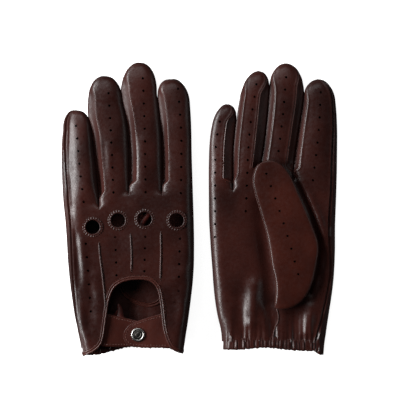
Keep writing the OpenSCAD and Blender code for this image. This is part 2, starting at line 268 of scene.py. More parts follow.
class Stations:
    """A finger's tube and the strip of hand below it, at each t: -1 hem, 0 foot, 1 shoulder, 2 tip."""

    def __init__(self, side, i, t, face):
        self.side, self.i, self.face = side, i, face
        self.t = t = np.atleast_1d(np.asarray(t, float))
        ends, above, self.k, self.power = [], [], [], []
        for line in (i, i + 1):
            at, foot, inner = LINE_AT[side][line], FEET[side][line], 0 < line < 4
            hem = float(HEM_AT[side, face](at(0)))
            finger = (SHOULDERS[side][i] - foot) * np.clip(t, 0, 1)
            y = np.where(t < 0, hem + (foot - hem) * (t + 1), foot + finger)
            x, up = at(y), y - foot
            if inner:
                x = x + (PRESSED if line > i else -PRESSED) * step(up / 8)
            ends.append(np.stack([x, y], -1))
            above.append(up)
            self.k.append(step(1 + up / VALLEY) if inner else step((up + OUTER_RISE[0]) / OUTER_RISE[1]))
            self.power.append(TUBE_POWER - inner * SQUARE * (1 - step(up / SQUARE_ABOVE)))
        left, right = ends
        self.lean = (LEAN * step((above[0] + OUTER_RISE[0]) / OUTER_RISE[1]), LEAN * step(above[1] / 20))
        self.g = step((above[0] + above[1]) / 2 / GROW)
        self.H = HALF_THICK - 1.2 * np.clip(t, 0, 1) - (0.5 if i == 0 else 0) * step(t)
        self.zc = BACK_Z + self.H if side == "right" else PALM_Z - self.H
        middle = (left + right) / 2
        phi = np.clip(t - 1, 0, 1) * math.pi / 2
        self.c = middle + (np.array(TIPS[side][i]) - middle) * np.sin(phi)[:, None]
        shrink = np.maximum(np.cos(phi), 0) ** TIP_POWER[side][i]
        self.h = (right - left) / 2 * shrink[:, None]
        self.H = self.H * np.maximum(np.cos(phi), 0) ** 0.75
        self.narrow = 1 - step((t - 1.05) / 0.6)
        if i in (0, 3):
            width = np.linalg.norm(self.h / np.maximum(shrink, 1e-3)[:, None], axis=1)
            inset = (LITTLE_INSET if i == 0 else INDEX_INSET)(middle[:, 1])
            self.outer = (180 if i == 0 else 0) + np.degrees(np.arccos(np.clip(1 - inset / width, -1, 1)))

    def seam(self, which):
        """A seam's angle at each t: 0 palm index side, 1 palm little side, 2 back little side, 3 back index."""
        given = SEAMS[self.side][self.i][which]
        if given is None:
            return self.outer + (360 if which == 3 else 0)
        low = (0, 180, 180, 360)[which]
        other = SEAMS[self.side][self.i][(3, 2, 1, 0)[which]] + (-360, 0, 0, 360)[which]
        middle = (given + other) / 2
        angle = middle + (given - middle) * self.narrow
        return low + (angle - low) * self.g

    def points(self, angles):
        """Surface points (rows, columns, 3) for angles (rows, columns)."""
        a = np.radians(angles)
        cos, sin = np.cos(a), np.sin(a)
        sign = np.where(np.abs(sin) < 1e-7, self.face, np.sign(sin))
        x, y = np.moveaxis(self.c[:, None] + self.h[:, None] * cos[..., None], -1, 0)
        inset = np.linalg.norm(self.h, axis=1)[:, None] * (1 - np.abs(cos))
        outer = ((self.i == 0) & (cos < 0)) | ((self.i == 3) & (cos > 0))
        flat = np.where(outer, rounded(inset, ROUND), 1)
        k, power, lean = (np.where(cos < 0, *(side[:, None] for side in v))
                          for v in (self.k, self.power, self.lean))
        f = (1 - k) * flat + k * np.abs(sin) ** power
        if self.side == "left" and self.i == 0:
            f = f * np.where(sign < 0, 1 + lean * cos, 1)
        z = self.zc[:, None] + sign * f * self.H[:, None]
        lift = relief(self.side, sign, x, y) * np.minimum(1, f * 1.2)
        return np.stack([x, y, z + sign * lift], -1)


# Soft folds and swellings on each face, as polylines: (x0, y0, x1, y1, ..., half width, height).
FOLDS = {
    ("left", -1): [
        (-49, 186, -49.2, 150, 3.2, -1.1), (-49.2, 150, -47.2, 118, 3.2, -1.1),
        (-38.5, 180, -36, 134, 5, 0.6), (-46.6, 118, -42.5, 92, 2.2, -1.0),
        (-41.5, 98, -38.6, 58, 2.0, -1.1), (-36.6, 92, -33.6, 62, 2.4, 0.8),
        (-30.5, 58, -27.6, 46, 2.2, -0.8), (-25, 66, -22.6, 34, 3.4, 0.9), (-38, 40, -37, 20, 3.0, 0.8),
        (-31, 36, -31, 18, 2.6, -0.6), (-40, 118, -36, 108, 3, 0.5), (36, 60, 44, 70, 3, 0.7),
        (33, 52, 42, 34, 3, -0.6), (42, 24, 43, 44, 2.6, 0.7), (-31, 20, -34, 12, 3, 0.5),
        (2, 118, 12, 126, 6, 0.7), (-10, 80, -8, 100, 6, -0.4), (10.5, 172, 11.5, 140, 3.2, 0.9),
        (3, 170, 4, 142, 2.2, -0.8), (-15, 170, -14, 148, 2.2, 0.5), (-20, 170, -19, 148, 2, -0.4),
        (12, 84, 14, 96, 5, 0.4), (-4, 76, 4, 66, 5, -0.3), (30, 100, 44, 124, 7, 0.5)],
    ("right", 1): [
        (-15, 58, -16, 30, 4.2, 3.3), (-18, 30, -16.5, 16, 1.8, 0.8), (-27, 50, -24.5, 22, 3, -1.0),
        (30.5, 40, 28, 22, 3.4, 2.8), (17.5, 38, 19, 22, 3.0, -0.9), (-9, 122, 0.5, 46, 5.0, -3.3),
        (12.5, 153, 21, 136, 30, 116, 36, 96, 37, 84, 34.5, 68, 29, 54, 2.5, -2.8),
        (18, 152, 42, 100, 2.6, 0.8), (-9, 44, -6, 18, 2.0, 0.9), (-34, 40, -33, 18, 2.4, 0.7),
        (-1, 36, 2, 16, 1.8, -0.8), (9, 36, 8, 16, 2.2, 0.7), (37, 60, 36, 24, 2.6, 0.6),
        (-24, 100, -30, 70, 7, 0.5), (40, 110, 41, 70, 3.5, 0.6), (31, 128, 43, 90, 2.4, 0.7)],
    ("left", 1): [
        (-20, 56, -18, 20, 2.6, 0.8), (-10, 50, -8, 20, 2.4, -0.7), (5, 40, 6, 18, 2.4, 0.6),
        (20, 40, 22, 20, 2.6, -0.6), (30, 46, 32, 20, 2.6, 0.7)],
    ("right", -1): [
        (-28, 60, -30, 34, 3, -0.6), (36, 60, 42, 66, 3, 0.5), (6, 118, 12, 126, 6, 0.5)],
}
GATHER_WAVES = ((3.7, 0.9, 0.42), (5.3, 2.1, 0.34), (8.1, 4.0, 0.3))


def gather(x):
    return sum(a * np.sin(2 * math.pi * x / w + p + 0.7 * math.sin(p) * np.sin(x / 9))
               for w, p, a in GATHER_WAVES)


def relief(side, sign, x, y):
    """How far the leather stands out from its plain shape, on the face that sign says."""
    out = (0.22 * np.sin(x / 7.3 + 1.1 + y / 19) * np.sin(y / 11.7 + x / 31)
           + 0.16 * np.sin(y / 6.1 + x / 12.5 + 2) * np.sin(x / 4.9 + y / 23)
           + 0.1 * np.sin(y / 3.7 - x / 8.3) * np.sin(x / 5.7 + y / 9.1))
    if side == "left":
        out = out * 1.1
    for face in (1, -1):
        total = 0
        for *ends, width, height in FOLDS[side, face]:
            count = len(ends) // 2 - 1
            best, along = np.full(np.shape(x), 1e9), np.zeros(np.shape(x))
            for n in range(count):
                x0, y0, x1, y1 = ends[2 * n:2 * n + 4]
                dx, dy = x1 - x0, y1 - y0
                t = np.clip(((x - x0) * dx + (y - y0) * dy) / (dx * dx + dy * dy), 0, 1)
                d2 = (x - x0 - t * dx) ** 2 + (y - y0 - t * dy) ** 2
                along = np.where(d2 < best, (n + t) / count, along)
                best = np.minimum(best, d2)
            strength = 0.55 + 0.45 * np.sin(math.pi * np.clip(along, 0.1, 0.9))
            total = total + height * np.exp(-best / (2 * width * width)) * strength
        out = out + np.where(sign == face, total, 0)
    puckers = np.exp(-np.maximum(y - 9, 0) / 9) * gather(x) * 1.3
    return out + np.where(sign > 0, puckers, 0)


# ---- meshes
class Build:
    """Collects vertices in a glove's own millimetres and faces, turned out as one object."""

    def __init__(self, side):
        self.side, self.points, self.faces, self.count = side, [], [], 0

    def add(self, points, faces):
        points = np.asarray(points, float).reshape(-1, 3)
        self.faces += [tuple(int(v) + self.count for v in f) for f in faces]
        self.points.append(points)
        self.count += len(points)
        return self

    def grid(self, points, closed=False, caps=(False, False)):
        """points (rows, columns, 3), outward where rows cross columns; caps fill the first and last row."""
        rows, cols = points.shape[:2]
        r = np.arange(rows - 1)[:, None]
        c = np.arange(cols if closed else cols - 1)[None]
        d = (c + 1) % cols
        r, above = r * cols, (r + 1) * cols
        quads = np.stack(np.broadcast_arrays(r + c, above + c, above + d, r + d), -1)
        ends = [range(cols), range(rows * cols - 1, (rows - 1) * cols - 1, -1)]
        return self.add(points, quads.reshape(-1, 4).tolist() + [end for end, cap in zip(ends, caps) if cap])

    def sweep(self, path, up, profile, closed=False):
        """A closed profile, as (side, up) pairs running anticlockwise, swept along a path."""
        across = beside(path, up, closed)
        up = unit(np.cross(across, tangents(path, closed)))
        profile = np.asarray(profile, float)
        if profile.ndim == 2:
            profile = profile[None]
        pts = path[:, None] + across[:, None] * profile[..., :1] + up[:, None] * profile[..., 1:]
        if closed:
            pts = np.concatenate([pts, pts[:1]], 0)
        return self.grid(pts, closed=True, caps=(not closed, not closed))

    def tube(self, path, up, radius, sides=8, flat=1.0, closed=False):
        """A round or flattened tube along a path, tapered at its ends unless closed."""
        ring = circle(sides) * (1, flat) * radius
        if not closed:
            k = np.arange(len(path))
            size = np.clip(np.minimum(k + 0.35, len(path) - 0.65 - k) / 1.5, 0.25, 1)
            ring = ring[None] * size[:, None, None]
        return self.sweep(path, up, ring, closed)

    def stitches(self, path, up, pitch=2.0, length=1.2, width=0.34, height=0.2):
        """A row of rounded stitches along a path."""
        run, spots = lengths(path), resampled(path, pitch)
        up = unit(interp(np.broadcast_to(up, path.shape), run, np.linspace(0, run[-1], len(spots))))
        cos, sin = circle(6).T[..., None]
        where, size = np.array([[-0.5], [-0.28], [0.28], [0.5]]), np.array([0.45, 1, 1, 0.45])[:, None, None]
        for q, along, across, out in zip(spots, tangents(spots), beside(spots, up), up):
            centre = (q + along * where * length)[:, None]
            rings = centre + cos * across * width / 2 * size + sin * out * height * size
            self.grid(rings, closed=True, caps=(True, True))
        return self

    def object(self, name, material, weld=True):
        mesh = bpy.data.meshes.new(f"{self.side}_{name}")
        points = place(self.side, np.vstack(self.points)).tolist()
        mesh.from_pydata(points, [], self.faces if self.side == "right" else [f[::-1] for f in self.faces])
        mesh.validate()
        obj = bpy.data.objects.new(mesh.name, mesh)
        bpy.context.scene.collection.objects.link(obj)
        if weld:
            bm = bmesh.new()
            bm.from_mesh(mesh)
            bmesh.ops.remove_doubles(bm, verts=bm.verts, dist=2e-6)
            bmesh.ops.dissolve_degenerate(bm, edges=bm.edges, dist=1e-7)
            bm.to_mesh(mesh)
            bm.free()
        mesh.materials.append(M[material])
        return obj

    def piece(self, name, material, *stands_for, weld=True, **rest):
        hand_over(self.object(name, material, weld), *stands_for, **rest)


def modified(obj, kind, **settings):
    """Puts a modifier on an object and applies it."""
    m = obj.modifiers.new(kind, kind)
    for key, value in settings.items():
        setattr(m, key, value)
    graph = bpy.context.evaluated_depsgraph_get()
    mesh = bpy.data.meshes.new_from_object(obj.evaluated_get(graph))
    old = obj.data
    obj.modifiers.clear()
    obj.data = mesh
    bpy.data.meshes.remove(old)
    mesh.name = obj.name


def thickened(obj, thickness):
    modified(obj, "SOLIDIFY", thickness=thickness / 1000, offset=-1, use_rim=True)
    return obj


def cut(obj, build):
    cutter = build.object("cutter", "glove")
    modified(obj, "BOOLEAN", operation="DIFFERENCE", solver="MANIFOLD", object=cutter)
    bpy.data.objects.remove(cutter)


def hand_over(obj, *stands_for, slot="glove_leather", body="hand", bend=None, sharp=42):
    """Smooths a piece, hides the parts it stands for, and parents it to the body of its glove that it moves
    with. The slot is not used.
    With bend it is only baked in place and not parented to a body; the bend's points set nothing."""
    side = obj.name.split("_")[0] + "_"
    for p in obj.data.polygons:
        p.use_smooth = True
    obj.data.set_sharp_from_angle(angle=math.radians(sharp))
    if stands_for:
        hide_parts(*[side + node for node in stands_for])
    if bend:
        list(bend)
        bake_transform(obj)
    else:
        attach(obj, side + body)


# ---- materials
class Nodes:
    """A material's node tree. Each input is given as a value or as another node's output."""

    def __init__(self, name):
        self.material = bpy.data.materials.new(name)
        self.material.use_nodes = True
        self.where = self.add("TexCoord", "Object", {})

    def fill(self, node, inputs):
        for key, value in inputs.items():
            if isinstance(value, bpy.types.NodeSocket):
                self.material.node_tree.links.new(value, node.inputs[key])
            else:
                node.inputs[key].default_value = value

    def add(self, kind, output, inputs, **settings):
        node = self.material.node_tree.nodes.new("ShaderNode" + kind)
        for key, value in settings.items():
            setattr(node, key, value)
        self.fill(node, inputs)
        return node.outputs[output]

    def noise(self, scale, detail):
        return self.add("TexNoise", "Fac", {"Scale": scale, "Detail": detail, "Vector": self.where})

    def ramp(self, value, *stops):
        colour = self.add("ValToRGB", "Color", {"Fac": value})
        for element, (position, rgb) in zip(colour.node.color_ramp.elements, stops):
            element.position, element.color = position, (*rgb, 1)
        return colour

    def spread(self, value, low, high, a=0.0, b=1.0):
        """Value's range a to b drawn out to low to high."""
        return self.add("MapRange", "Result", {"Value": value, "From Min": a, "From Max": b,
                                               "To Min": low, "To Max": high})

    def total(self, a, b):
        return self.add("Math", "Value", {0: a, 1: b}, operation="ADD")

    def bump(self, height, strength, distance, **under):
        return self.add("Bump", "Normal",
                        {"Height": height, "Strength": strength, "Distance": distance, **under})

    def finished(self, **shader):
        """The material, with its shader's inputs, in whose names a space is written as _."""
        self.fill(self.material.node_tree.nodes["Principled BSDF"],
                  {key.replace("_", " "): value for key, value in shader.items()})
        return self.material


def leather(name, light, dark, rough=0.3, grain=1.0, specular=0.18, patch=26.0):
    """Leather, patchy from dark to light, with a grain and soft creases, and duller where it turns away."""
    n = Nodes(name)
    tone = n.ramp(n.noise(patch, 3.0), (0.36, dark), (0.66, light))
    specks = n.ramp(n.noise(1300.0, 2.0), (0.3, (0.72, 0.7, 0.68)), (0.75, (1.0, 1.0, 1.0)))
    colour = n.add("Mix", "Result", {"Factor": 0.7, "A": tone, "B": specks},
                   data_type="RGBA", blend_type="MULTIPLY")
    gloss = n.spread(n.noise(420.0, 4.0), rough - 0.05, rough + 0.09, 0.3, 0.7)
    haze = n.spread(n.add("LayerWeight", "Facing", {"Blend": 0.5}), 0.0, 0.5, 0.18, 0.46)
    cells = n.add("TexVoronoi", "Distance", {"Scale": 1100.0, "Vector": n.where})
    fine = n.bump(n.total(cells, n.noise(2400.0, 3.0)), 0.22 * grain, 0.00012)
    creases = n.bump(n.noise(260.0, 5.0), 0.35 * grain, 0.00035, Normal=fine)
    return n.finished(Base_Color=colour, Specular_IOR_Level=specular, Roughness=n.total(gloss, haze),
                      Normal=creases)


def metal(name, colour, rough):
    """Worn metal, with fine marks in its colour, gloss and surface."""
    n = Nodes(name)
    marks = n.noise(900.0, 4.0)
    tone = n.ramp(marks, (0.0, [c * 0.7 for c in colour]), (1.0, colour))
    return n.finished(Metallic=1.0, Base_Color=tone, Roughness=n.spread(marks, rough - 0.06, rough + 0.1),
                      Normal=n.bump(marks, 0.12, 0.00005))


M = {
    "glove": leather("glove_leather", (0.0215, 0.0053, 0.0039), (0.0105, 0.0027, 0.0021)),
    # Painted light: the strips between the fingers are the glove's own leather, coloured lighter than it to
    # lift them out of the shade that the fingers cast on them.
    "fourchette": leather("fourchette_leather", (0.026, 0.0062, 0.0045), (0.0135, 0.0034, 0.0026), 0.34,
                          specular=0.085),
    "binding": leather("binding_leather", (0.034, 0.008, 0.0054), (0.018, 0.0042, 0.003), grain=0.7),
    "thumb": leather("thumb_leather", (0.026, 0.0052, 0.0031), (0.013, 0.0028, 0.0019), 0.32),
    "strap": leather("strap_leather", (0.042, 0.0096, 0.0064), (0.022, 0.0052, 0.0037), 0.34),
    "thread": leather("stitch_thread", (0.06, 0.02, 0.015), (0.008, 0.0028, 0.0022), 0.42, 1.6, 0.12, 1500),
    # Painted highlight: the strap's thread is coloured far lighter than the strap so that its stitches show as
    # lit.
    "strap_thread": leather("strap_thread", (0.11, 0.042, 0.033), (0.04, 0.014, 0.011), 0.42, 1.6, 0.3, 900),
    # Painted light: the folds inside the glove are the palm's own leather, coloured a much lighter red than the
    # glove's leather as light falling on them through the openings.
    "lining": leather("lining_leather", (0.075, 0.0125, 0.0095), (0.034, 0.0062, 0.0048), 0.36),
    "elastic": leather("elastic", (0.03, 0.028, 0.027), (0.012, 0.011, 0.011), 0.7, 2.0, patch=900),
    "rim": metal("snap_rim_metal", (0.31, 0.30, 0.285), 0.26),
    "cap": metal("snap_cap_metal", (0.075, 0.07, 0.064), 0.3),
    "steel": metal("snap_metal", (0.3, 0.29, 0.27), 0.38),
}


# ---- the sewn shell
HAND_ROWS_T = np.linspace(-1, 0, 104)
TIP_ROWS = 1 + np.linspace(0, 1, 17)[1:]
COLUMNS = {"palm": 30, "back": 30, "four_index": 10, "four_little": 10}
FACE = {"palm": 1, "back": -1, "four_index": 1, "four_little": 1}
EDGES = {"palm": (0, 1), "back": (2, 3), "four_index": (3, 0), "four_little": (1, 2)}   # a patch's seams
OUTER_SEAM = {0: ("palm", True), 3: ("palm", False)}
ROW_PITCH = 1.7
BEND_BEFORE, BEND_AFTER = 8.0, 12.0     # how far before a crease a finger's own pieces start, and how far after it its bend ends
STRIP_END = 1.66                        # the t at which the strips between the fingers end


def edge_shape(d):
    """A groove at an outer seam and the swelling beside it."""
    return np.exp(-((d - 1.3) / 0.8) ** 2) - 1.2 * np.exp(-(d / 0.5) ** 2)


def normals_of(p):
    return np.nan_to_num(unit(np.cross(np.gradient(p, axis=0), np.gradient(p, axis=1))))


def patch(side, i, kind, t, columns=None):
    """One piece of a finger's column: its back, palm, or a strip between the fingers, with rolled edges."""
    st = Stations(side, i, t, FACE[kind])
    a, b = (st.seam(which) for which in EDGES[kind])
    if kind == "four_index":
        a = a - 360
    u = np.linspace(0, 1, (columns or COLUMNS[kind]) + 1)
    p = st.points(a[:, None] * (1 - u) + b[:, None] * u)
    strip = kind.startswith("four")
    if strip:
        edge = np.clip(((180 if kind == "four_little" else 0) - a) / np.maximum(b - a, 1e-3), 0, 1)[:, None]
        v = np.where(u < edge, (edge - u) / np.maximum(edge, 1e-6), (u - edge) / np.maximum(1 - edge, 1e-6))
        low_sink, top_sink = SINK[side, kind]
        sink = low_sink + (top_sink - low_sink) * step((st.t - 0.55) / 0.35)
        sunk = 1 - (sink * st.g * st.narrow)[:, None] * np.sin(math.pi * np.clip(v, 0, 1))
        p[..., 2] = st.zc[:, None] + (p[..., 2] - st.zc[:, None]) * sunk
    if len(p) > 2:
        run = np.cumsum(np.linalg.norm(np.diff(p, axis=1), axis=2), 1)
        run = np.concatenate([np.zeros((len(p), 1)), run], 1)
        height = 0.3 if strip else 0.12 if (side, kind) == ("left", "back") else 0.45
        lift = 0
        for d, outer in ((run, (("palm", 3), ("back", 0))), (run[:, -1:] - run, (("palm", 0), ("back", 3)))):
            lift = lift + (0.5 * edge_shape(d) if (kind, i) in outer else
                           height * st.g[:, None] * np.exp(-((d - 1.2) / 0.9) ** 2))
        p = p + normals_of(p) * (lift * np.minimum(1, run[:, -1:] / 4))[..., None]
    return p


def split(side, i):
    """t at which a finger's own pieces start, and the two ends of its bend."""
    p, d = fold_of(side, FINGERS[i] + "_bend", (0, 1, 0))
    t = np.linspace(0, 1, 400)
    at = float(np.interp(-BEND_BEFORE, (Stations(side, i, t, 1).c - p[:2]) @ d[:2], t))
    edge = Stations(side, i, [at], 1)
    ends = [float((edge.c[0] + s * edge.h[0] - p[:2]) @ d[:2]) for s in (-1, 1)]
    return at, place(side, p + d * (max(ends) + 0.3)), place(side, p + d * BEND_AFTER)


SPLITS = {(side, i): split(side, i) for side in SIDES for i in range(4)}


def rows_between(side, i, low, high):
    """A finger's rows from one t to another, about ROW_PITCH apart."""
    length = (high - low) * (SHOULDERS[side][i] - FEET[side][i])
    return np.linspace(low, high, max(3, int(round(length / ROW_PITCH))) + 1)


def holes_along(control, count):
    path = smooth_path(control, 0.5)
    run = lengths(path)
    return interp(path, run, np.linspace(0, run[-1], count)).tolist()


# Rows of ventilation holes on each face: how many holes, then points on the row's smooth line.
ROWS = {
    ("left", -1): [
        (7, (-41.8, 185.8), (-39, 158), (-35.2, 125)), (6, (-33.4, 91.8), (-30.9, 62), (-29.3, 38.3)),
        (9, (-15.8, 211.7), (-13.4, 172), (-11.6, 132.6)), (4, (-10.2, 97), (-9, 66.9)),
        (10, (11.5, 223.7), (13.2, 178), (13.9, 132.7)), (4, (13.7, 97.2), (13, 70.1)),
        (9, (39.6, 215.4), (42.2, 178), (41.9, 131.9)), (4, (41.2, 95.8), (40.3, 65.7)),
        (2, (40, 54.6), (36.9, 45.6))],
    ("right", 1): [
        (10, (-42.1, 189.3), (-45.6, 164), (-46, 97.2)), (11, (-12.9, 219.2), (-18.6, 178), (-21.5, 117.8)),
        (7, (10.8, 224.8), (8.4, 196), (4.7, 165.8)), (8, (38.6, 212.8), (36.6, 180), (32.1, 142.5))],
    ("right", -1): [
        (6, (-38.4, 184), (-39.5, 160), (-38.8, 134)), (6, (-33.8, 91.8), (-29.3, 38.3)),
        (8, (-13.8, 214), (-18, 182), (-20, 143.2)), (4, (-12, 97), (-9.6, 66.9)),
        (8, (10.4, 219.8), (8.2, 190), (5.2, 150.5)), (4, (13.7, 97.2), (13, 70.1)),
        (7, (37.5, 207.7), (36, 178), (33.4, 147)), (6, (41.2, 95.8), (38, 45.7))],
    ("left", 1): [
        (6, (-42.4, 180.8), (-40.2, 156), (-37.6, 130.6)),
        (8, (-17.5, 206.7), (-14.9, 172), (-12.6, 137.4)), (8, (10, 218.6), (12.8, 184), (13.4, 148)),
        (7, (35.6, 210), (37.8, 178), (38.4, 144))],
}
ROW_DROP = {"left": 0.9, "right": 0.35}
KNUCKLES = [(-27.9, 104.2), (-7.8, 109.5), (13.3, 110.5), (38.7, 109.5)]
KNUCKLE_R = 6.1
ARCH_TOP = [(-41, -0.6), (-35, 2.4), (-27, 6.0), (-21.6, 11), (-19.2, 18), (-17, 33.4), (-15, 46.2),
    (-11.4, 55.2), (-5.8, 60), (1.5, 62.3), (10.6, 62.8), (17.1, 61.7), (21.7, 58.2), (24.2, 53),
    (25.9, 42.6), (28.2, 24.2)]
ARCH_EDGE = {"left": ARCH_TOP + [(31.4, 13.4), (36, 7.2), (46, 3.2)],
             "right": ARCH_TOP + [(30.6, 13.4), (33.2, 6.4), (37, 3.2), (41, 2.4), (46, 2.2)]}


class Surface:
    """The height of one face of a glove, from the points that it is made of."""

    def __init__(self, points, face):
        self.p, self.face = points, face

    def at(self, x, y):
        d = (self.p[:, 0] - x) ** 2 + (self.p[:, 1] - y) ** 2
        near = np.argpartition(d, 5)[:5]
        w = 1 / (d[near] + 0.02)
        return float((self.p[near, 2] * w).sum() / w.sum())

    def lay(self, path, lift=0.0):
        """A path laid on the face, its height smoothed along it."""
        z = np.array([self.at(x, y) for x, y in path])
        if len(z) > 6:
            z = np.convolve(np.concatenate([[z[0]] * 2, z, [z[-1]] * 2]), np.ones(5) / 5, "valid")
        return np.c_[path, z + self.face * lift]


def drill(side, surface, spots, radius, depth=2.0, rise=2.0, sides=16):
    b = Build(side)
    for x, y in spots:
        z = surface.at(x, y)
        low, high = sorted((z - surface.face * depth, z + surface.face * rise))
        b.sweep(np.array([[x, y, low], [x, y, high]]), (0, 1.0, 0), circle(sides) * radius)
    return b


def face_points(side, face):
    kind = "palm" if face == 1 else "back"
    pts = np.vstack([patch(side, i, kind, t).reshape(-1, 3)
                     for i in range(4) for t in (HAND_ROWS_T, np.linspace(0, 2, 110))])
    middle = BACK_Z + HALF_THICK if side == "right" else PALM_Z - HALF_THICK
    return pts[face * (pts[:, 2] - middle) > 0.6]


SURFACE = {(side, face): Surface(face_points(side, face), face) for side in SIDES for face in (1, -1)}
PUNCH_R = 0.95
PALM_START = 6.0 / 135              # the share of the hand, at its hem, that the palm's leather leaves free
PALM_PUNCH_FROM = 20                # no ventilation holes below this Y in the palm
ARCH_CUT = (-4, 20)                 # the heights between which the back is cut to the arch


def finger_of(side, x, y):
    """Which finger's column of the glove a point lies in."""
    return int(sum(x > LINE_AT[side][n](min(y, SHOULDERS[side][n])) for n in (1, 2, 3)))


def below_split(side, spot, margin=1.6):
    i = finger_of(side, *spot)
    st = Stations(side, i, [SPLITS[side, i][0]], 1)
    d = fold_of(side, FINGERS[i] + "_bend", (0, 1, 0))[1]
    return (np.array(spot) - st.c[0]) @ d[:2] < -margin


def punch(obj, side, kind, test):
    """Cuts the ventilation holes that pass a test through a back or a palm."""
    face = FACE[kind]
    spots = [spot for count, *line in ROWS[side, face] for spot in holes_along(line, count)]
    spots = [(x, y - ROW_DROP[side]) for x, y in spots if test((x, y - ROW_DROP[side]))]
    if spots:
        cut(obj, drill(side, SURFACE[side, face], spots, PUNCH_R))


def flat_prism(side, outline, low, high):
    """A prism over an outline that runs anticlockwise."""
    n = len(outline)
    faces = [(k, (k + 1) % n, n + (k + 1) % n, n + k) for k in range(n)]
    pts = [np.c_[outline, np.full(n, z)] for z in (low, high)]
    return Build(side).add(pts, faces + [range(n - 1, -1, -1), range(n, 2 * n)])


def shell(side, kind):
    """The back or the palm of the hand, with the fingers' feet."""
    b, start = Build(side), PALM_START if kind == "palm" else -1
    for i in range(4):
        b.grid(patch(side, i, kind, HAND_ROWS_T[HAND_ROWS_T > start - 1]))
        b.grid(patch(side, i, kind, rows_between(side, i, 0, SPLITS[side, i][0])))
    return thickened(b.object(kind + "_leather", "glove"), SKIN)


def strips_of(i):
    """The strips on a finger's sides that face another finger."""
    return ["four_little"] * (i > 0) + ["four_index"] * (i < 3)


def parts_of_hand(side):
    back = shell(side, "back")
    punch(back, side, "back", lambda s: below_split(side, s))
    cut(back, drill(side, SURFACE[side, -1], KNUCKLES, KNUCKLE_R, sides=48))
    arch = np.vstack([[(-41, -9), (46, -9)], smooth_path(ARCH_EDGE[side], 1.2)[::-1]])
    cut(back, flat_prism(side, arch, *ARCH_CUT))
    hand_over(back, "back_panel")
    palm = shell(side, "palm")
    punch(palm, side, "palm", lambda s: below_split(side, s) and s[1] > PALM_PUNCH_FROM)
    hand_over(palm, "palm_panel")
    b = Build(side)
    for i in range(4):
        for kind in strips_of(i):
            b.grid(patch(side, i, kind, rows_between(side, i, 0, SPLITS[side, i][0])))
    four = thickened(b.object("crotch_fourchette_leather", "fourchette"), STRIP_SKIN)
    hand_over(four, "crotch_fourchettes", slot="fourchette_leather")


def parts_of_finger(side, i):
    at, *bend = SPLITS[side, i]
    rows = np.concatenate([rows_between(side, i, at, 1), TIP_ROWS])
    for part in ("back", "palm", "fourchettes"):
        b, strip = Build(side), part == "fourchettes"
        for kind in strips_of(i) if strip else [part]:
            b.grid(patch(side, i, kind, rows[rows < STRIP_END] if strip else rows))
        node, slot = f"{FINGERS[i]}_{part}", "fourchette" if strip else "glove"
        obj = thickened(b.object(node + "_leather", slot), STRIP_SKIN if strip else SKIN)
        if not strip:
            punch(obj, side, part, lambda s: not below_split(side, s) and finger_of(side, *s) == i)
        hand_over(obj, node, slot=slot + "_leather", body=FINGERS[i] + "_finger", bend=bend)


for side in SIDES:
    parts_of_hand(side)
    for i in range(4):
        parts_of_finger(side, i)


# ---- seams
SEAM_STITCH = {"pitch": 2.1, "length": 1.25}
WELT_R, FINE_WELT_R = 0.46, 0.26        # on the palm that shows, and elsewhere
INNER_END, OUTER_END = 0.62, 0.9        # how far past the shoulders, as t, the inner and outer seams run


def add_seam(welt, thread, side, i, kind, last, t, outer=False):
    """A welt along one long edge of a patch, and the stitches beside it."""
    p = patch(side, i, kind, t, columns=12)
    n = normals_of(p)
    k, inner = (-1, -3) if last else (0, 2)
    path, up = p[:, k], unit(n[:, inner] + n[:, k] * 0.5 + np.array([0, 0, 1e-6]))
    sunk = 0.5 if outer else 0.12 if kind == "palm" else 0.2
    welt.tube(path - up * sunk, up, WELT_R if (side, kind) == ("right", "palm") else FINE_WELT_R)
    out = beside(path, up) * (1 if last else -1)
    thread.stitches(path + out * 1.25 + up * 0.2, up, **SEAM_STITCH)


def finger_seams(i):
    """The inner seams of a finger, as (patch, whether its last edge): palm and back on each inner side."""
    return [("palm", True), ("back", False)] * (i > 0) + [("palm", False), ("back", True)] * (i < 3)


def seams_of(side):
    welt, thread = Build(side), Build(side)
    feet = [np.linspace(0.0, SPLITS[side, i][0], 26) for i in range(4)]
    for i in range(4):
        for seam in finger_seams(i):
            add_seam(welt, thread, side, i, *seam, feet[i])
    for i, seam in OUTER_SEAM.items():
        add_seam(welt, thread, side, i, *seam, np.concatenate([HAND_ROWS_T[5:-1], feet[i]]), outer=True)
    welt.piece("hand_seams", "binding", weld=False)
    thread.piece("hand_seam_stitches", "thread", weld=False)
    for i in range(4):
        at, *bend = SPLITS[side, i]
        welt, thread = Build(side), Build(side)
        rows = np.linspace(at, 1, 30)
        for seam in finger_seams(i):
            t = np.concatenate([rows, 1 + np.linspace(0, INNER_END, 12)[1:]])
            add_seam(welt, thread, side, i, *seam, t)
        if i in OUTER_SEAM:
            t = np.concatenate([rows, 1 + np.linspace(0, OUTER_END, 14)[1:]])
            add_seam(welt, thread, side, i, *OUTER_SEAM[i], t, outer=True)
        for build, what, material in ((welt, "seams", "binding"), (thread, "seam_stitches", "thread")):
            build.piece(f"{FINGERS[i]}_{what}", material, weld=False, body=FINGERS[i] + "_finger", bend=bend)


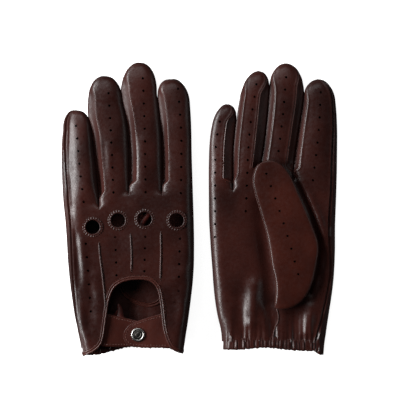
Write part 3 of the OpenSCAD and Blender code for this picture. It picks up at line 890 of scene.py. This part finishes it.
# ---- the back: binding, knuckle holes, pleats
PLEATS = [[(-23.2, 92.5), (-22, 80), (-19.9, 64), (-18.4, 50), (-17.4, 38)],
          [(1.9, 99.5), (2.9, 84), (2.6, 68.5)], [(25.9, 100.6), (26.2, 84), (25.6, 62)]]
BINDING = [(-0.35, -1.7), (0.5, -1.9), (0.7, -1.1), (2.4, -0.5), (2.75, 0.0), (2.6, 0.42), (2.2, 0.6),
    (1.75, 0.5), (1.45, 0.22), (1.2, 0.2), (0.95, 0.48), (0.5, 0.66), (0.05, 0.5), (-0.3, 0.1), (-0.45, -0.8)]
RIDGE = [(-1.1, -0.6), (1.1, -0.6), (0.95, -0.06), (0.6, 0.3), (0.3, 0.62), (0, 0.72), (-0.3, 0.62),
    (-0.6, 0.3), (-0.95, -0.06)]
RIM_STEPS, KNUCKLE_STITCHES = 220, 22
# A knuckle rim's profile, and how far its puckers raise each point of it.
RIM = [(-0.62, -1.2), (0.3, -1.2), (2.3, -0.45), (2.2, -0.1), (1.95, 0.02), (1.7, 0.06), (1.4, 0.08),
    (1.1, 0.08), (0.7, 0.16), (0.3, 0.42), (-0.1, 0.42), (-0.45, 0.2), (-0.62, -0.3)]
RIM_WAVES = np.array([0, 0, 0, 0, 0.12, 0.3, 0.38, 0.32, 0.2, 0.06, 0, 0, 0])


def back_details(side):
    surface, up = SURFACE[side, -1], UP_OF[-1]
    path = smooth_path(ARCH_EDGE[side], 0.9)
    hem = BACK_HEM[side]
    keep = np.nonzero(path[:, 1] > np.interp(path[:, 0], (-36, 43), (hem[0][0] - 0.2, hem[1][0] + 0.2)))[0]
    path = path[keep[0]:keep[-1] + 1]
    low, high = (LINE_AT[side][line](5) for line in (0, 4))
    line = surface.lay(path[(path[:, 0] > low + 0.5) & (path[:, 0] < high - 0.4)])
    b = Build(side).sweep(line, up, BINDING)
    b.piece("binding_roll", "binding", "opening_binding", slot="binding_leather")
    across = beside(line, up)
    b, ridges = Build(side), Build(side)
    b.stitches(line + across * 1.33 + up * 0.28, up, width=0.36)
    b.stitches(line + across * 3.3 + up * 0.1, up, width=0.3, height=0.16)
    for pleat in PLEATS:
        edge = surface.lay(smooth_path(pleat, 0.8), 0.02)
        b.stitches(edge + beside(edge, up), up, pitch=1.9, length=1.1, width=0.3, height=0.24)
        edge = surface.lay(smooth_path(pleat, 0.8), 0.1)
        k = np.arange(len(edge))
        size = np.clip(np.minimum(k + 0.4, len(edge) - 0.6 - k) / 4, 0.2, 1)[:, None, None]
        ridges.sweep(edge, up, np.array(RIDGE)[None] * size)
    b.piece("back_stitches", "thread", weld=False)
    ridges.piece("pleats", "glove", sharp=60)

    rim, thread = Build(side), Build(side)
    angles = np.linspace(0, 2 * math.pi, RIM_STEPS, endpoint=False)
    puckers = 0.5 + 0.5 * np.cos(KNUCKLE_STITCHES * angles)
    shaped = np.broadcast_to(RIM, (RIM_STEPS, len(RIM), 2)).copy()
    shaped[..., 1] += puckers[:, None] * RIM_WAVES[None] - RIM_WAVES[None] * 0.35
    for x, y in KNUCKLES:
        line = surface.lay(np.array([x, y]) + KNUCKLE_R * circle(RIM_STEPS) * (1, -1))
        line[:, 2] = surface.at(x, y) * 0.5 + line[:, 2] * 0.5
        rim.sweep(line, up, shaped, closed=True)
        for angle in (np.arange(KNUCKLE_STITCHES) + 0.5) * 2 * math.pi / KNUCKLE_STITCHES:
            d = np.array([math.cos(angle), math.sin(angle), 0])
            centre = np.array([x, y, 0]) + d * (KNUCKLE_R + 1.45)
            centre[2] = float(line[:, 2].mean()) - 0.08
            thread.tube(np.array([centre - d * 0.75, centre, centre + d * 0.75]), up, 0.27, sides=6, flat=0.8)
    rim.piece("knuckle_rims", "glove", "knuckle_rings")
    thread.piece("knuckle_stitches", "thread", weld=False)


# Folds of the palm's leather pushed up inside the left glove: x, y, depth of the crest and half width at each
# end. One lies under a knuckle hole and one behind the strap.
INNER_FOLDS = [((19.0, 120.5, 4.4, 3.4), (8.0, 101.5, 2.2, 3.4)),
               ((-8.4, 43.0, 10.0, 0.9), (-6.3, 28.5, 4.6, 6.4))]
FOLD_DEPTH = 12.4                   # how deep inside the glove the folds start


def inner_folds(side):
    b = Build(side)
    for start, end in INNER_FOLDS:
        line = np.linspace(start, end, 24)
        path, half = line[:, :3], line[:, 3:]
        path[:, 0] += 0.5 * np.sin(np.linspace(0, 2.2 * math.pi, 24))
        a = np.linspace(0, math.pi, 15)
        side_way = half * np.append(np.cos(a), (-1.1, 1.1))
        foot = np.repeat(path[:, 2:] - FOLD_DEPTH, 2, 1)
        height = np.concatenate([half * (np.abs(np.sin(a)) ** 0.8 - 1) * 1.4, foot], 1)
        b.sweep(path, UP_OF[-1], np.stack([side_way, height], 2))
    # The folds' light red colour is painted light.
    b.piece("inner_folds", "lining", sharp=60)


# ---- the wrist
HEM_LOOP = [(0, -0.4), (0.7, 0.4), (2.5, 0.65), (5, 0.65), (7.4, 0.5), (9.2, 0.1), (8.4, -1.2), (6.5, -1.8),
    (3, -1.8), (0.7, -1.3)]
WRIST_SEAM = [(3.2, 40), (4.4, 34), (4.0, 29), (1.8, 24.5), (0.4, 19), (0.2, 13)]
HEM_Z = 7.25                        # the height of the hem's middle at the glove's sides
HEM_STITCH_ROWS = (8.0, 1.7)        # how far above the hem's edge
ELASTIC_RISE = 4.8
ELASTIC = [(-2.6, -0.4), (2.6, -0.4), (2.8, 0), (2.6, 0.4), (-2.6, 0.4), (-2.8, 0)]


def pleating(x):
    """Sharp-crested little folds of leather drawn together by elastic, about 2 to 4 mm apart."""
    turn = 2 * math.pi * x
    a = np.sin(turn / 3.3 + 1.3 * np.sin(x / 5.1)) + 0.6 * np.sin(turn / 2.1 + 2 + np.sin(x / 3.7))
    return 0.55 * a + 0.5 * np.sin(turn / 5.9 + 0.8)


def wrist(side):
    """The gathered hem, its stitches, the elastic in it, and the seam from the thumb down to it."""
    up = UP_OF[1]
    x0, x1 = float(LINE_AT[side][0](5)) + 0.2, float(LINE_AT[side][4](5)) - 0.2
    x = np.linspace(x0, x1, 430)
    inset = np.minimum(x - x0, x1 - x)
    base = HEM_Z + HALF_THICK * rounded(inset, ROUND)
    hem = HEM_AT[side, 1](x)
    dy, dz = smooth_path(HEM_LOOP, 0.5, closed=True).T
    wave = pleating(x)[:, None]
    strong = np.sin(math.pi * np.clip((dy + 1) / 10, 0, 1))[None] ** 0.7 * np.minimum(inset / 5, 1)[:, None]
    slope = 0.35 * np.sin(x / 6.3 + 1)[:, None] * dy[None] / 4
    pts = np.stack([x[:, None] + 0.25 * wave * strong + slope * 0.6,
                    hem[:, None] + dy[None] + 0.35 * np.roll(wave, 9, 0) * np.exp(-dy[None] / 2),
                    base[:, None] + dz[None] + 0.36 * wave * strong * (0.6 + 0.4 * (dz > 0)[None])], -1)
    b = Build(side).grid(pts, closed=True, caps=(True, True))
    b.piece("gathered_hem", "glove", "wrist_hem", sharp=70)
    b = Build(side)
    for row in HEM_STITCH_ROWS:
        k = int(np.argmin((dy - row) ** 2 + (dz < 0) * 100))
        b.stitches(pts[14:-14, k] + up * 0.08, up)
    b.piece("hem_stitches", "thread", weld=False)
    x, base = x[20:-20], base[20:-20]
    line = np.stack([x, HEM_AT[side, 1](x) + ELASTIC_RISE, base - 0.6 + 0.25 * pleating(x)], 1)
    Build(side).sweep(line, up, ELASTIC).piece("elastic_band", "elastic", "wrist_elastic", slot="elastic")
    line = SURFACE[side, 1].lay(smooth_path(WRIST_SEAM, 0.7), 0.12)
    Build(side).tube(line, up, 0.5).piece("wrist_seam", "binding")


# ---- the strap and its snap
def loft(b, left, right, zc, half, power, columns=48):
    """A closed tube between two plan lines with as many points; power above 2 squares its cross-section."""
    c, h = (left + right) / 2, (right - left) / 2
    cos, sin = circle(columns).T
    cc, ss = np.sign(cos) * np.abs(cos) ** (2 / power), np.sign(sin) * np.abs(sin) ** (2 / power)
    xy = c[:, None] + h[:, None] * cc[None, :, None]
    z = np.asarray(zc)[:, None] + np.asarray(half)[:, None] * ss[None]
    pts = np.concatenate([xy, z[..., None]], -1)
    b.grid(pts, closed=True, caps=[np.linalg.norm(end) > 0.01 for end in (h[0], h[-1])])
    return pts


def turned(profile, steps=72):
    """The points of a turned form about the snap's middle."""
    a = np.linspace(0, 2 * math.pi, steps + 1)
    r, z = np.array(profile[::-1], float).T
    return np.stack([SNAP[0] + np.outer(np.cos(a), r), SNAP[1] + np.outer(np.sin(a), r),
                     np.broadcast_to(z, (len(a), len(z)))], -1)


TAB_TOP = [(38, 35.5), (32, 35.7), (25.4, 35.2), (17, 32.9), (8.9, 30.2), (3.2, 27.8), (-0.4, 25.1),
    (-2.9, 21.6), (-3.7, 18)]
TAB_LOW = [(38.4, 9.2), (32, 8.8), (24, 8.6), (15, 8.8), (7, 9.2), (1.8, 10.2), (-1.5, 12.4), (-3.3, 15.2),
    (-3.7, 18)]
BASE_TOP = [(-17, 35.6), (-13.2, 34.7), (-4, 32.4), (5.2, 30.2), (15, 27.8)]
BASE_LOW = [(-21, 9.8), (-18.7, 9.6), (-8, 9.4), (1.5, 9.4), (15.5, 9.2)]
SNAP_RIM = [(3.75, 1.1), (3.75, 0.45), (4.0, 0.15), (4.45, 0.02), (4.95, 0.12), (5.35, 0.45), (5.5, 0.9),
    (5.45, 1.5), (5.2, 2.0), (3.6, 2.0)]
SNAP_FACE = [(0, 0.32), (0.8, 0.34), (1.5, 0.42), (2.0, 0.62), (2.2, 0.5), (2.9, 0.58), (3.3, 0.7),
    (3.8, 0.95), (3.8, 2.1), (1.4, 2.1), (1.4, 3.0), (0, 3.0)]


STRAP_STITCH = {"pitch": 2.3, "length": 1.3}
STRAP_BEND = (0.2, 8.0)             # where the tab's bend starts and ends, from its sewn end
STRAP_SQUARE = 7                    # how square a strap's edge is


def edges_of(points, fine, pitch, count):
    """Two edges of a strap, with as many points on each."""
    return (spread(resampled(smooth_path(p, fine), pitch), np.linspace(0, 1, count)) for p in points)


def strap(side):
    up = UP_OF[-1]
    # the fixed half
    top, low = edges_of((BASE_TOP, BASE_LOW), 0.4, 1, 60)
    x = (top + low)[:, 0] / 2
    z = 2.7 + 3.3 * step((x + 20) / 20) + 0.15 * np.sin(x / 3)
    b = Build(side)
    loft(b, top, low, z, np.full(len(z), 0.55), STRAP_SQUARE)
    b.piece("strap_base_leather", "strap", "strap_base", slot="strap_leather")
    b = Build(side)
    for edge, other in ((top, low), (low, top)):
        line = np.concatenate([edge + unit(other - edge) * 1.7, (z - 0.55)[:, None]], 1)
        b.stitches(line[4:-8], up, width=0.5, height=0.45, **STRAP_STITCH)
    b.piece("strap_base_stitches", "strap_thread", weld=False, slot="strap_leather")
    # the loose tab
    p, d = fold_of(side, "strap_open", (-1, 0, 0))
    bend = [place(side, p + d * v) for v in STRAP_BEND]
    motion = {"slot": "strap_leather", "body": "strap", "bend": bend}
    top, low = edges_of((TAB_TOP, TAB_LOW), 0.3, 0.6, 84)
    x = (top + low)[:, 0] / 2
    z = 2.55 - 0.35 * np.sin(math.pi * np.clip((x + 4) / 40, 0, 1)) + 0.12 * np.sin(x / 3.5)
    b = Build(side)
    loft(b, low, top, z, 0.58 * rounded(np.linalg.norm(top - low, axis=1) / 2, 1.2), STRAP_SQUARE)
    b.piece("strap_flap_leather", "strap", "strap_tab", "strap_root", **motion)
    outline = np.concatenate([top[:-1], low[::-1]])
    zz = np.concatenate([z[:-1], z[::-1]])
    inner = np.cross(tangents(np.c_[outline, zz * 0]), up)[:, :2]
    inner = np.where(((outline.mean(0) - outline) * inner).sum(1, keepdims=True) > 0, inner, -inner)
    line = np.concatenate([outline + inner * 1.9, (zz - 0.57)[:, None]], 1)
    b = Build(side)
    b.stitches(line[line[:, 0] < 30], up, width=0.45, height=0.4, **STRAP_STITCH)
    b.piece("strap_flap_stitches", "strap_thread", weld=False, **motion)
    # the snap
    for profile, *names in (SNAP_RIM, "snap_rim", "rim"), (SNAP_FACE, "snap_face", "cap", "snap_cap"):
        Build(side).grid(turned(profile), closed=True).piece(*names, slot="snap_cap", body="strap")
    for node in ("_snap_stud", "_snap_post", "_snap_socket"):
        for s in frame["nodes"][side + node].material_slots:
            s.material = M["steel"]


# ---- the thumb
THUMB_LEFT = [(0.9, 41), (2.0, 50), (2.2, 57), (1.2, 65), (-1.2, 75), (-4.7, 97.6), (-10.2, 117.8),
    (-14.6, 133), (-15.9, 143.5), (-12.6, 153.4), (-5.8, 158.6)]
THUMB_RIGHT = [(0.9, 41), (6.3, 39.7), (13.7, 40.4), (21.9, 44.6), (27.6, 52), (32.4, 63.7), (35.4, 79.3),
    (36.1, 91), (33, 102), (27.4, 116), (19.3, 134.4), (13.8, 146), (6.9, 154.6), (0.2, 158), (-5.8, 158.6)]
THUMB_HOLE = [(6, 50), (17, 49), (25, 56), (29.5, 71), (29, 84), (20, 84), (10, 66)]
THUMB_ROW = [(-5.2, 147.2), (5.4, 117), (14.6, 87.2), (19.9, 67.6)]
# The seam at the thumb's foot, as it shows from inside the glove, and its profile.
SMILE = [(-6.5, 56), (-4.6, 52.5), (1.5, 47), (6.8, 44), (11.5, 42.6), (16.4, 41.8), (22, 43.4), (26, 46.5)]
LIP = [(-1.5, -0.3), (1.5, -0.3), (1.7, 0.5), (1.2, 1.0), (0.6, 0.8), (0.2, 0.35), (-0.3, 0.4), (-0.7, 0.9),
    (-1.3, 0.8), (-1.7, 0.3)]
THUMB_LOW, THUMB_TOP, THUMB_MARGIN = 15.0, 23.9, 0.25
THUMB_COLUMNS, THUMB_SEAM = 96, 0.47    # and where round the thumb its seam runs
THUMB_ROUND, THUMB_SQUARE = 8.0, 4.6
THUMB_BEND = (0.5, 20.0)                # where its bend starts and ends, from its foot


def thumb(side):
    palm = SURFACE[side, 1]
    even = np.linspace(0, 1, 110)
    u = 0.75 * (0.5 - 0.5 * np.cos(math.pi * even)) + 0.25 * even
    left, right = (spread(smooth_path(p, 0.4), u) for p in (THUMB_LEFT, THUMB_RIGHT))
    width = np.linalg.norm(right - left, axis=1) / 2
    roof = THUMB_TOP - THUMB_MARGIN - math.tan(TILT) * np.maximum((left + right)[:, 1] / 2 - THUMB_BASE_Y, 0)
    half = (roof - THUMB_LOW) / 2
    pts = loft(Build(side), left, right, THUMB_LOW + half, half * rounded(width, THUMB_ROUND), THUMB_SQUARE,
               THUMB_COLUMNS)
    normals = unit(np.nan_to_num(np.cross(np.gradient(pts, axis=0), np.gradient(pts, axis=1))))
    x, y = pts[..., 0], pts[..., 1]
    lump = 0.25 * np.sin(x / 5 + y / 14) * np.sin(y / 12 + 1) - 0.25
    pts = pts + normals * lump[..., None]
    obj = Build(side).grid(pts, closed=True).object("thumb_leather", "thumb")
    roof_surface = Surface(pts[pts[..., 2] > 18].reshape(-1, 3), 1)
    cut(obj, drill(side, roof_surface, holes_along(THUMB_ROW, 9), PUNCH_R, depth=1.6))
    p, d = fold_of(side, "thumb_unfold", (-1, 0, 0))
    bend = [place(side, p + d * v) for v in THUMB_BEND]
    motion = {"slot": "thumb_leather", "body": "thumb", "bend": bend}
    hand_over(obj, "thumb_top", "thumb_under", "thumb_root", **motion)
    # its seam runs up the free edge
    k = int(THUMB_COLUMNS * THUMB_SEAM)
    line, n = resampled(pts[8:-14, k], 1.0), normals[8:-14, k]
    n = unit(spread(n, np.linspace(0, 1, len(line))))
    Build(side).tube(line, n, 0.55).piece("thumb_seam", "thumb", weld=False, **motion)
    thread = Build(side).stitches(line - beside(line, n) * 1.2 + n * 0.05, n, **SEAM_STITCH)
    thread.piece("thumb_seam_stitches", "thread", weld=False, **motion)
    # the seam round the thumb's hole in the palm, outside and in
    line = palm.lay(smooth_path(THUMB_HOLE, 0.8, closed=True))
    welt = Build(side).tube(line, UP_OF[1], 0.75, flat=0.5, closed=True)
    welt.piece("thumb_hole_welt", "binding", "thumb_welt")
    line = smooth_path(SMILE, 0.7)
    line = np.c_[line, np.array([palm.at(x, y) for x, y in line]) - SKIN]
    Build(side).sweep(line, UP_OF[-1], LIP).piece("thumb_seam_inside", "binding")


for side in SIDES:
    seams_of(side)
    back_details(side)
    if side == "left":
        inner_folds(side)
    wrist(side)
    strap(side)
    thumb(side)


# ---- floor, light and camera
paper = Nodes("floor_paper").finished(Base_Color=(0.5, 0.5, 0.5, 1), Roughness=0.9, Specular_IOR_Level=0.1,
                                      Emission_Color=(1, 1, 1, 1), Emission_Strength=0.9)
floor_z, half_floor = min(cad_box[0][2], 0.0) - 0.0002, 6.0
floor_mesh = bpy.data.meshes.new("floor")
corners = [(x * half_floor, y * half_floor, floor_z) for x, y in ((-1, -1), (1, -1), (1, 1), (-1, 1))]
floor_mesh.from_pydata(corners, [], [(0, 1, 2, 3)])
floor_mesh.materials.append(paper)
floor = bpy.data.objects.new("floor", floor_mesh)
bpy.context.scene.collection.objects.link(floor)
floor.visible_glossy = False

world = bpy.data.worlds.new("studio")
bpy.context.scene.world = world
world.use_nodes = True
world.node_tree.nodes["Background"].inputs["Color"].default_value = (1, 1, 1, 1)
world.node_tree.nodes["Background"].inputs["Strength"].default_value = 0.03


def softbox(name, position, size, power):
    """A rectangular light that faces the gloves."""
    light = bpy.data.lights.new(name, "AREA")
    light.shape = "RECTANGLE"
    light.size, light.size_y = size
    light.energy = power
    obj = bpy.data.objects.new(name, light)
    obj.location = position
    obj.rotation_euler = (-Vector(position)).to_track_quat("-Z", "Y").to_euler()
    bpy.context.scene.collection.objects.link(obj)


softbox("key", (-1.38, 0.3, 0.85), (1.8, 0.45), 106)
softbox("fill", (1.35, 0.2, 0.85), (1.5, 0.45), 4)
softbox("top", (-0.25, 1.2, 1.6), (1.2, 0.5), 10)

camera = bpy.data.cameras.new("camera")
VIEW_CENTRE, VIEW_SIZE, VIEW_HEIGHT = (0.0070, 0.00175), 0.3328, 1.2
camera.lens = camera.sensor_width * VIEW_HEIGHT / VIEW_SIZE
camera_obj = bpy.data.objects.new("camera", camera)
camera_obj.location = (*VIEW_CENTRE, 0.010 + VIEW_HEIGHT)
bpy.context.scene.collection.objects.link(camera_obj)
bpy.context.scene.camera = camera_obj
bpy.context.scene.view_settings.view_transform = "Standard"
